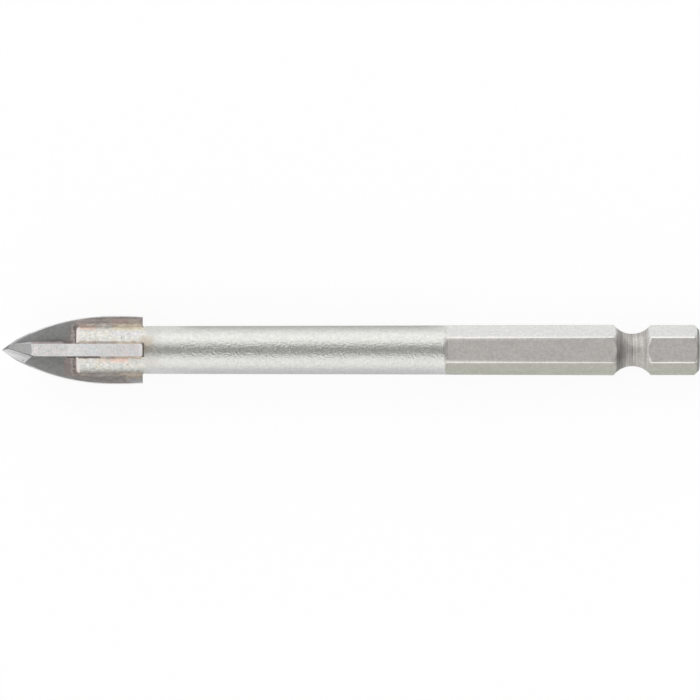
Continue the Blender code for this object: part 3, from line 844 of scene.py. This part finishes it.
def socket_tints(g, colours, colour, place, s, x, in_socket, nose):
    """Heat tints on the socket: mottled cream and pale green, clouds of pink and lilac, and the pale nose,
    whose pink tint is partly a painted highlight of its rounded edge.

    The lower edge is darker, a painted shade, and the upper lobe has a whitish patch with a small grey
    hollow in it. The areas are given along the bit and across the main blade, in millimetres, with
    wavering edges.
    """
    cloud = g.noise(place, 1.3, 3.0, 0.6, (0.7, 1.5, 1.5))
    speck = g.noise(place, 2.1, 4.0, 0.75)
    dots = g.noise(place, 5.0, 3.0, 0.6)
    colour = g.layered(colour, (in_socket, colours.socket),
                       (in_socket * g.step(cloud, 0.5, 0.62) * 0.5, (0.74, 0.68, 0.55)),
                       (in_socket * g.fall(cloud, 0.36, 0.48) * 0.5, (0.60, 0.64, 0.61)))
    shift = 1.2 * (speck - 0.5) + 2.4 * (cloud - 0.5)
    colour = g.tinted(colour, s, x, shift, 0.28, (
        ((11.2, 13.5, 2.85, 3.5), (0.92, 0.66, 0.55), 0.75),
        ((15.9, 20.4, 2.8, 3.7), (0.92, 0.85, 0.62), 0.6),
        ((15.9, 20.1, 2.0, 2.65), (0.74, 0.71, 0.80), 0.5),
        ((13.5, 15.9, -1.75, -1.0), (0.96, 0.80, 0.66), 0.6),
        ((15.9, 18.2, -1.75, -1.0), (0.96, 0.64, 0.54), 0.7)))
    # Painted shade on the lower side of the lobes.
    under = g.fall(x, -3.3, -2.2)
    colour = g.shaded(colour, 1 + in_socket * (1.3 * speck + 0.3 * dots - 0.8 - 0.3 * under))
    white = g.spot(s, x, (17.0, 18.0, 1.3, 2.1), 0.15) * g.step(speck, 0.4, 0.5)
    hollow = g.spot(s, x, (17.15, 17.75, 1.5, 1.95), 0.14) * g.step(dots, 0.35, 0.6)
    # The pale nose: a pink tint with a painted highlight of its rounded edge.
    return g.layered(colour, (white * 0.7, (0.95, 0.95, 0.9)), (hollow * 0.8, (0.36, 0.36, 0.36)),
                     (nose * 0.9, colours.nose))


def heat_stain(g, colours, colour, place, s, x):
    """The brown smear behind the slot's end, with dark spots in it, and a faint pink one below."""
    blot = g.noise(place, 2.2, 4.0, 0.7)
    spots = g.noise(place, 5.5, 2.0, 0.5)
    smear = g.spot(s + 1.6 * (blot - 0.5), x + blot - 0.5, (20.0, 21.8, -0.1, 2.0), 0.4)
    dark = g.spot(s, x, (20.5, 22.9, -0.9, 0.7), 0.4) * g.step(spots, 0.5, 0.62)
    return g.layered(colour, (smear * g.step(blot, 0.25, 0.55) * 0.6, colours.stain),
                     (dark * 0.55, (0.18, 0.155, 0.13)),
                     (g.spot(s, x, (20.6, 23.0, -2.3, -1.4), 0.4) * 0.35, (0.72, 0.62, 0.60)))


def sintered_finish(g, place, colours):
    """Carbide as it was sintered: grey, matt and mottled; browned by flux beside the socket.

    Behind the nose the outer strips run from mauve to grey along the bit, with a brassy patch and a
    bluish corner at the lower rear. A dark olive shade lies beside the upper side blade's bead.
    """
    s, x, _ = g.parts(place)
    grain = g.noise(place, 2.6, 4.0, 0.75)
    cloud = g.noise(place, 1.3, 4.0, 0.65, (0.8, 1.4, 1.0))
    streak = g.noise(place, 1.2, 4.0, 0.65, (0.3, 3.2, 3.0))
    shift = 2.4 * (cloud - 0.5)
    flux = g.step(s + shift, 10.2, 11.2)
    colour = g.layered(
        colours.carbide,
        (flux * (0.55 + 0.45 * g.step(streak, 0.35, 0.6)), (0.41, 0.355, 0.335)),
        (flux * g.fall(streak, 0.38, 0.5) * 0.7, (0.23, 0.205, 0.19)),
        (flux * g.step(streak, 0.56, 0.64) * 0.5, (0.54, 0.50, 0.47)))
    colour = g.tinted(colour, s, x, shift, 0.25, (
        ((15.8, 18.4, 3.7, 4.5), (0.46, 0.33, 0.31), 0.6),
        ((18.0, 20.4, 3.5, 4.1), (0.54, 0.47, 0.37), 0.6),
        ((10.5, 18.0, -4.9, -3.2), (0.23, 0.222, 0.215), 0.55),
        ((18.0, 20.4, -4.05, -3.0), (0.43, 0.37, 0.29), 0.8),
        ((18.2, 20.4, -4.8, -4.15), (0.38, 0.41, 0.44), 0.6),
        ((6.4, 9.4, 0.9, 1.6), (0.17, 0.165, 0.145), 0.5)))
    colour = g.shaded(colour, 0.3 + 0.8 * grain + 0.64 * cloud)
    g.surface(colour, 0.0, 0.5 + 0.12 * grain, grain + cloud, 0.02)


def land_finish(g, place, colours):
    """The ground outer land: light and even, with fine marks round the bit and faint pink and blue tints.

    It is pinkish at the front and the rear, bluish in the middle, whitish at the rear end and dull where
    the relief of the side blades reaches.
    """
    s, _, _ = g.parts(place)
    marks = g.noise(place, 1.5, 3.0, 0.7, (7.0, 0.6, 0.6))
    tint = g.noise(place, 1.2, 4.0, 0.65, (0.7, 1.8, 1.8))
    grain = g.noise(place, 3.4, 4.0, 0.7)
    colour = g.layered(
        colours.ground,
        (g.band(s + 3 * (tint - 0.5), 9.5, 16.5, 0.8) * 0.8, (0.77, 0.795, 0.785)),
        (g.step(s, 14.5, 18.0) * 0.7, (0.86, 0.83, 0.825)),
        (g.step(tint, 0.48, 0.56) * 0.45, (0.88, 0.77, 0.77)),
        (g.fall(tint, 0.38, 0.46) * 0.4, (0.72, 0.77, 0.80)),
        (g.step(s, 19.3, 20.1) * 0.6, (0.97, 0.95, 0.94)),
        (g.fall(s, 4.15, 4.35) * 0.8, colours.relief))
    colour = g.shaded(colour, 0.42 + 0.34 * marks + 0.82 * grain)
    g.surface(colour, 0.1, 0.5 + 0.12 * marks, marks + grain, 0.02)


def relief_finish(g, place, colours):
    """The relief facets: duller, with grinding marks across, dark at the tip, and dark along the outline as
    painted shade.
    """
    s, x, _ = g.parts(place)
    marks = g.noise(place, 1.6, 3.0, 0.7, (4.0, 0.8, 0.8))
    blot = g.noise(place, 1.6, 2.0, 0.5)
    # The rim mask carries painted shade along the outline.
    rim = g.step(abs(x) - 0.48 * s, 0.02, 0.1)
    colour = g.mix(1 - g.step(s, 0.95, 1.15) * (1 - rim), colours.relief, (0.2, 0.2, 0.2))
    colour = g.shaded(colour, 0.84 + 0.16 * marks + 0.16 * blot)
    g.surface(colour, 0.1, 0.5 + 0.1 * marks, marks, 0.008)


def rake_finish(g, place, colours):
    """The rake facets: bright, partly as painted light, with grinding streaks along the gash.

    A streak keeps the value of x turned with the side of the blade plus 0.271 times s. One darker
    streak and finer ones follow it, past it the facet turns near white as a painted highlight, and
    there is a pit near the outer corner.
    """
    s, x, y = g.parts(place)
    side = g.node("ShaderNodeMath", {"operation": "SIGN"}, {0: y})
    line = x * side + 0.271 * s
    ribbon = g.node("ShaderNodeCombineXYZ", sockets={0: line * 5, 1: s * 0.35, 2: side})
    streaks = g.noise(ribbon, 1.3, 3.0, 0.65)
    broad = g.band(line, 0.06, 0.14, 0.04) * g.band(s, 0.9, 3.5, 0.3)
    low = g.fall(line, -0.55, -0.35)
    pit = g.spot(s, x * side, (3.0, 3.2, -1.56, -1.42), 0.04)
    # Painted light: the rake colour is lighter than the land; the near-white share past the darker streak is a
    # painted highlight.
    colour = g.layered(colours.rake, (broad * 0.5 + low * 0.15 + pit, (0.38, 0.38, 0.38)),
                       (g.step(line, 0.13, 0.19) * 0.8, (0.98, 0.98, 0.98)))
    g.surface(g.shaded(colour, 0.88 + 0.22 * streaks), 0.35, 0.35 + 0.12 * streaks, streaks, 0.01)


def wall_finish(g, place, colours):
    """The steep rear wall of the gash: dark as painted deep shade, and unpolished."""
    grain = g.noise(place, 6.0, 3.0, 0.6)
    # Painted deep shade: the wall's dark colour.
    g.surface(g.shaded(colours.wall, 0.8 + 0.4 * grain), 0.1, 0.6, grain, 0.01)


def braze_finish(g, place, colours):
    """Braze: grey-brown and oxidised in front of the socket, brown, grey and beige along the joints.

    In front of the nose it is darkest in its corner with the side blade, and a paler ridge and a dark
    line cross it just before the nose. At its front edge it fades into the carbide's grey. Along the
    joints it is darker at the lower side as painted shade, has a black line below the side blade as
    painted shadow in the gap there, and is brassy at the rear. The bead between the blades has its own
    grey-brown.
    """
    s, x, _ = g.parts(place)
    lumps = g.noise(place, 2.2, 4.0, 0.7)
    fine = g.noise(place, 7.0, 3.0, 0.6)
    sway = g.noise(place, 0.9, 2.0, 0.5)
    along = g.noise(place, 1.5, 3.0, 0.6, (0.5, 1.0, 1.0))
    shift = 0.9 * (lumps - 0.5)
    shifted = s + 2 * shift
    swayed = s + 1.6 * (sway - 0.5) + shift * 0.5
    joint = g.step(s, 10.8, 11.2)
    corner = g.spot(shifted, x + shift, (8.8, 10.0, 0.7, 1.5), 0.35)
    crease = g.band(swayed, 10.45, 10.65, 0.1) * g.fall(abs(x), 2.4, 2.8)
    # Painted shade on the lower side of the joints.
    below = joint * g.fall(x, -2.9, -2.6) * (0.6 - 0.35 * g.step(s, 16.3, 17.8))
    colour = g.layered(
        colours.braze,
        (g.fall(x, -1.0, 0.0), (0.33, 0.285, 0.265)),
        (g.fall(shifted - 0.25 * x, 8.7, 9.6), colours.carbide),
        (corner * 0.65, (0.13, 0.1, 0.09)),
        (g.band(swayed, 10.1, 10.3, 0.12) * 0.6, (0.5, 0.46, 0.44)),
        (crease * 0.6, (0.12, 0.10, 0.09)),
        (joint, (0.40, 0.32, 0.28)),
        (joint * g.band(shifted, 13.5, 15.8, 0.3) * 0.6, (0.5, 0.48, 0.46)),
        (joint * g.step(shifted, 15.8, 16.8), colours.brass),
        (joint * g.step(along, 0.5, 0.62) * 0.5, (0.78, 0.70, 0.58)),
        (below, (0.25, 0.235, 0.23)),
        (g.fall(s, 8.6, 9.0) * g.fall(abs(x), 1.3, 1.4), colours.bead),
        (g.fall(s, 4.0, 4.6), (0.62, 0.62, 0.62)),
        (g.fall(s, 1.9, 2.0), colours.relief),
        # Painted shadow: a black line below the side blade, where the gap is.
        (g.spot(s + shift, x, (9.4, 14.3, -1.12, -0.8), 0.08) * 0.85, (0.06, 0.05, 0.045)),
        (g.step(s, 20.25, 20.3), (0.34, 0.29, 0.24)))
    colour = g.shaded(colour, 0.4 + 0.8 * lumps + 0.4 * fine)
    g.surface(colour, 0.2, 0.42 + 0.2 * fine, lumps + 0.4 * fine, 0.03, 0.7)


FINISHES = {
    "shank_steel": steel_finish,
    "sintered_carbide": sintered_finish,
    "ground_carbide": land_finish,
    "ground_relief": relief_finish,
    "ground_rake": rake_finish,
    "ground_wall": wall_finish,
    "oxidised_braze": braze_finish,
}
CARBIDE_FINISHES = ("sintered_carbide", "ground_carbide", "ground_relief", "ground_rake", "ground_wall")


def finish_named(name):
    """The finish of that name, made the first time it is asked for."""
    material = bpy.data.materials.get(name)
    if not material:
        material, g = new_finish(name)
        FINISHES[name](g, g.bit_place(), bpy.context.scene.finish_colours)
    return material


class MakeShank(bpy.types.Operator):
    """Make the steel shank: slotted socket, shaft, hex drive end with its ball groove"""

    bl_idname = "drill_bit.make_shank"
    bl_label = "Shank"

    def execute(self, context):
        sizes = context.scene.shank_sizes
        patches = shank_body(sizes) + slot_floor(sizes)
        for k in range(4):
            patches += lobe_patches(k * math.pi / 2, sizes)
        shape = welded("shank_body", patches)
        placed("shank_dressed", shape, [finish_named("shank_steel")], ["shank"],
               sizes.edge, 40.0)
        return {"FINISHED"}


class MakeMainBlade(bpy.types.Operator):
    """Make the main carbide blade, with its point, relief flats and rake gashes"""

    bl_idname = "drill_bit.make_main_blade"
    bl_label = "Main blade"

    def execute(self, context):
        head = context.scene.head_sizes
        shape = welded("main_blank", main_blank(head))
        slope = Vector((float(head_radius(np.array(head.relief), head)), head.relief)).normalized()
        _, _, outward = side_relief_lines(head)
        for side in (1, -1):
            cut(shape, (0, 0, 0), (side * slope.y, 0, -slope.x), 1)
            cut(shape, (0, 0, 0), (0, side * outward.x, outward.y), 2)
        finishes = [finish_named(name) for name in CARBIDE_FINISHES]
        cutters = [gash_cutter(f"gash_{k}", head, k * math.pi) for k in range(2)]
        shape = carved(shape, cutters, finishes)
        placed("main_blade_dressed", shape, finishes, ["main_blade"], 1.4 * head.edge,
               edge_slot=1)
        return {"FINISHED"}


class MakeSideBlades(bpy.types.Operator):
    """Make the two side blades that butt on the main blade"""

    bl_idname = "drill_bit.make_side_blades"
    bl_label = "Side blades"

    def execute(self, context):
        head = context.scene.head_sizes
        finishes = [finish_named(name) for name in CARBIDE_FINISHES]
        _, corner, _, wall = gash_planes(head)
        rake_corner = (head.thickness / 2 - head.rake_depth, 0, head.side_start)
        for name in ("side_blade_upper", "side_blade_lower"):
            shape = welded(name, side_blank(head))
            cut(shape, corner, wall, 4)
            cut(shape, rake_corner, (1, 0, -head.rake_depth / head.rake_length), 1)
            shape = carved(shape, [side_relief_cutter("side_relief", head)], finishes)
            if name == "side_blade_lower":
                shape = half_turn(shape)
            placed(name + "_dressed", shape, finishes, [name], head.edge, 42.0, 1)
        return {"FINISHED"}


class MakeBraze(bpy.types.Operator):
    """Make the braze: layers in the slots, seams between the blades, fillets in front of the socket"""

    bl_idname = "drill_bit.make_braze"
    bl_label = "Braze"

    def execute(self, context):
        head, sizes = context.scene.head_sizes, context.scene.shank_sizes
        half = head.thickness / 2
        radius = sizes.front_diameter / 2
        patches = []
        for k, quarter in enumerate(((1, 1), (-1, 1), (-1, -1), (1, -1))):
            patches += puddle(head, 10 + 7 * k, quarter)
            for j, by_side_blade in enumerate((True, False)):
                path = strip_section(60 + 5 * k + 2 * j, by_side_blade, half, radius)
                patches += bead(10.95, 20.38, path, quarter)
        for k, quarter in enumerate(((1, 1), (-1, -1))):
            patches += bead(1.95, 9.6, seam_section(90 + k, 0.29 * MM, half), quarter)
        crossing, inner, outer, front, rear = 0.98, 0.905, 0.995, 10.85, 20.3
        for side in (1, -1):
            near, far = sorted((side * crossing, side * 3.2))
            for low, high in ((inner, outer), (-outer, -inner)):
                patches.append(slab((low, near, front), (high, far, rear)))
                patches.append(slab((near, low, front), (far, high, rear)))
            near, far = sorted((side * crossing, side * 3.3))
            patches.append(slab((-crossing, near, 20.31), (crossing, far, 20.49)))
        shape = welded("braze", patches)
        _, corner, _, wall = gash_planes(head)
        _, _, outward = side_relief_lines(head)
        for k in range(2):
            web = welded("web", [slab((-0.89, inner, 1.5), (0.89, outer, rear))])
            cut(web, corner, wall, 0)
            cut(web, (0, 0, 0), (0, outward.x, outward.y), 0)
            mesh = as_mesh("web", half_turn(web) if k else web)
            shape.from_mesh(mesh)
            bpy.data.meshes.remove(mesh)
        placed("braze_dressed", shape, [finish_named("oxidised_braze")], ["braze"], None, 50.0)
        return {"FINISHED"}


class MakeStage(bpy.types.Operator):
    """Make the floor, the dome, the two softboxes and the camera"""

    bl_idname = "drill_bit.make_stage"
    bl_label = "Stage"

    def execute(self, context):
        studio = context.scene.studio_settings
        self.floor(studio)
        self.dome(studio)
        for name, power, side in (("key_softbox", studio.key, 1), ("fill_softbox", studio.fill, -1)):
            self.softbox(name, power, side)
        self.camera(studio)
        context.scene.view_settings.view_transform = "Standard"
        return {"FINISHED"}

    def floor(self, studio):
        """A flat grid at the height where the bit touches, with a pale finish that keeps the shadow.

        The camera sees it near white. Reflections see a painted glow on it, brighter at the bit's upper
        side as painted light, with strips of painted shadow beside the shaft, ending behind the bit.
        """
        side = np.linspace(-2.0, 2.0, 9)
        x, y = np.meshgrid(side, side, indexing="ij")
        mesh = as_mesh("floor", welded("floor", [(np.stack([x, y, 0 * x], -1), grid_quads(9, 9), 0)]))
        if mesh.polygons[0].normal.z < 0:
            mesh.flip_normals()
        material, g = new_finish("floor_paper")
        place = g.node("ShaderNodeTexCoord", output="Object")
        colour = g.shaded(studio.floor, 0.99 + 0.02 * g.noise(place, 900.0, 2.0, 0.5))
        ahead, across, _ = g.parts(place)
        matt = g.node("ShaderNodeBsdfPrincipled", sockets={"Base Color": colour, "Roughness": 0.9,
                                                           "Specular IOR Level": 0.1})
        glow = g.node("ShaderNodeEmission", sockets={"Color": (1, 1, 1, 1), "Strength": 1.04})
        outputs = g.node("ShaderNodeLightPath").socket.node.outputs
        # Painted light for reflections: the floor's glow is brighter at the bit's upper side.
        card = 0.6 - 0.25 * g.step(across, -4 * MM, 4 * MM) + 0.65 * g.step(across, 4.5 * MM, 9 * MM)
        beside = g.band(ahead, -24 * MM, 12.4 * MM, 1.5 * MM)
        # Painted shadow in that glow: strips beside the shaft.
        edges = 0.8 * g.band(across, 5.0 * MM, 17 * MM, 2.5 * MM) + 0.3 * g.fall(across, -5 * MM, -4 * MM)
        card = (card - beside * edges) * g.fall(ahead, 50 * MM, 53 * MM)
        camera, glossy, through = [Wire(g, outputs[f"Is {kind} Ray"])
                                   for kind in ("Camera", "Glossy", "Transmission")]
        seen = 0.85 * (camera + through) + 0.96 * card * glossy
        mixed = g.node("ShaderNodeMixShader", sockets={0: seen, 1: matt, 2: glow})
        g.output("ShaderNodeOutputMaterial", mixed)
        mesh.materials.append(material)
        linked("floor", mesh)

    def dome(self, studio):
        """The world: bright at the bit's two sides and past its tip, dark over it and past its shank.

        The dark band over it falls off smoothly with the sideways part of the direction. The side of the
        fill lamp is a little dimmer towards the horizon.
        """
        world = bpy.data.worlds.new("dome")
        world.use_nodes = True
        g = Graph(world.node_tree)
        x, y, z = g.parts(g.node("ShaderNodeTexCoord", output="Generated"))
        over = g.fall(abs(y), 0.0, 0.78) * g.step(z, 0.1, 0.7) * g.step(x, -0.5, -0.25)
        level = studio.dome - (studio.dome - studio.zenith) * over
        level = level * (1 - 0.14 * g.fall(y, -0.95, -0.5))
        ends = g.step(x, 0.1, 0.75) * 0.7
        g.output("ShaderNodeOutputWorld", g.node("ShaderNodeBackground", sockets={
            "Color": (1, 1, 1, 1), "Strength": level * (1 - ends)}))
        bpy.context.scene.world = world

    def softbox(self, name, power, side):
        """A long soft lamp beside the bit, about 60 degrees off the vertical, aimed at its middle."""
        lamp = bpy.data.lights.new(name, "AREA")
        lamp.shape = "RECTANGLE"
        lamp.size, lamp.size_y = 0.9, 0.5
        lamp.energy = power
        item = linked(name, lamp)
        item.location = (0, side * 0.62, 0.36)
        item.rotation_euler = item.location.to_track_quat("Z", "X").to_euler()

    def camera(self, studio):
        """Square above the tilted axis, with the bit's axis level in the picture."""
        tip, across, up, along = axes()
        camera = bpy.data.cameras.new("camera")
        camera.sensor_width = 36.0
        camera.lens = camera.sensor_width * studio.camera_distance / studio.frame_width
        camera.clip_start = 0.01
        item = linked("camera", camera)
        place = Matrix((along, across, up)).transposed().to_4x4()
        place.translation = tip + along * studio.frame_centre + up * studio.camera_distance
        item.matrix_world = place
        bpy.context.scene.camera = item


MAKERS = (MakeShank, MakeMainBlade, MakeSideBlades, MakeBraze, MakeStage)


class DrillBitPanel(bpy.types.Panel):
    """Lists the drill bit's pieces and their settings"""

    bl_idname = "VIEW3D_PT_drill_bit"
    bl_label = "Drill Bit"
    bl_space_type = "VIEW_3D"
    bl_region_type = "UI"
    bl_category = "Drill Bit"

    def draw(self, context):
        column = self.layout.column()
        for maker in MAKERS:
            column.operator(maker.bl_idname)
        for group in ("head_sizes", "shank_sizes", "finish_colours", "studio_settings"):
            settings = getattr(context.scene, group)
            for name in settings.__annotations__:
                column.prop(settings, name)


GROUPS = {
    "head_sizes": HeadSizes,
    "shank_sizes": ShankSizes,
    "finish_colours": FinishColours,
    "studio_settings": StudioSettings,
}
CLASSES = (*GROUPS.values(), *MAKERS, DrillBitPanel)


def register():
    for item in CLASSES:
        bpy.utils.register_class(item)
    for name, group in GROUPS.items():
        setattr(bpy.types.Scene, name, bpy.props.PointerProperty(type=group))


def unregister():
    for name in GROUPS:
        delattr(bpy.types.Scene, name)
    for item in reversed(CLASSES):
        bpy.utils.unregister_class(item)


def main():
    """Makes every piece and the stage."""
    register()
    bpy.ops.drill_bit.make_shank()
    bpy.ops.drill_bit.make_main_blade()
    bpy.ops.drill_bit.make_side_blades()
    bpy.ops.drill_bit.make_braze()
    bpy.ops.drill_bit.make_stage()


if __name__ == "__main__":
    main()
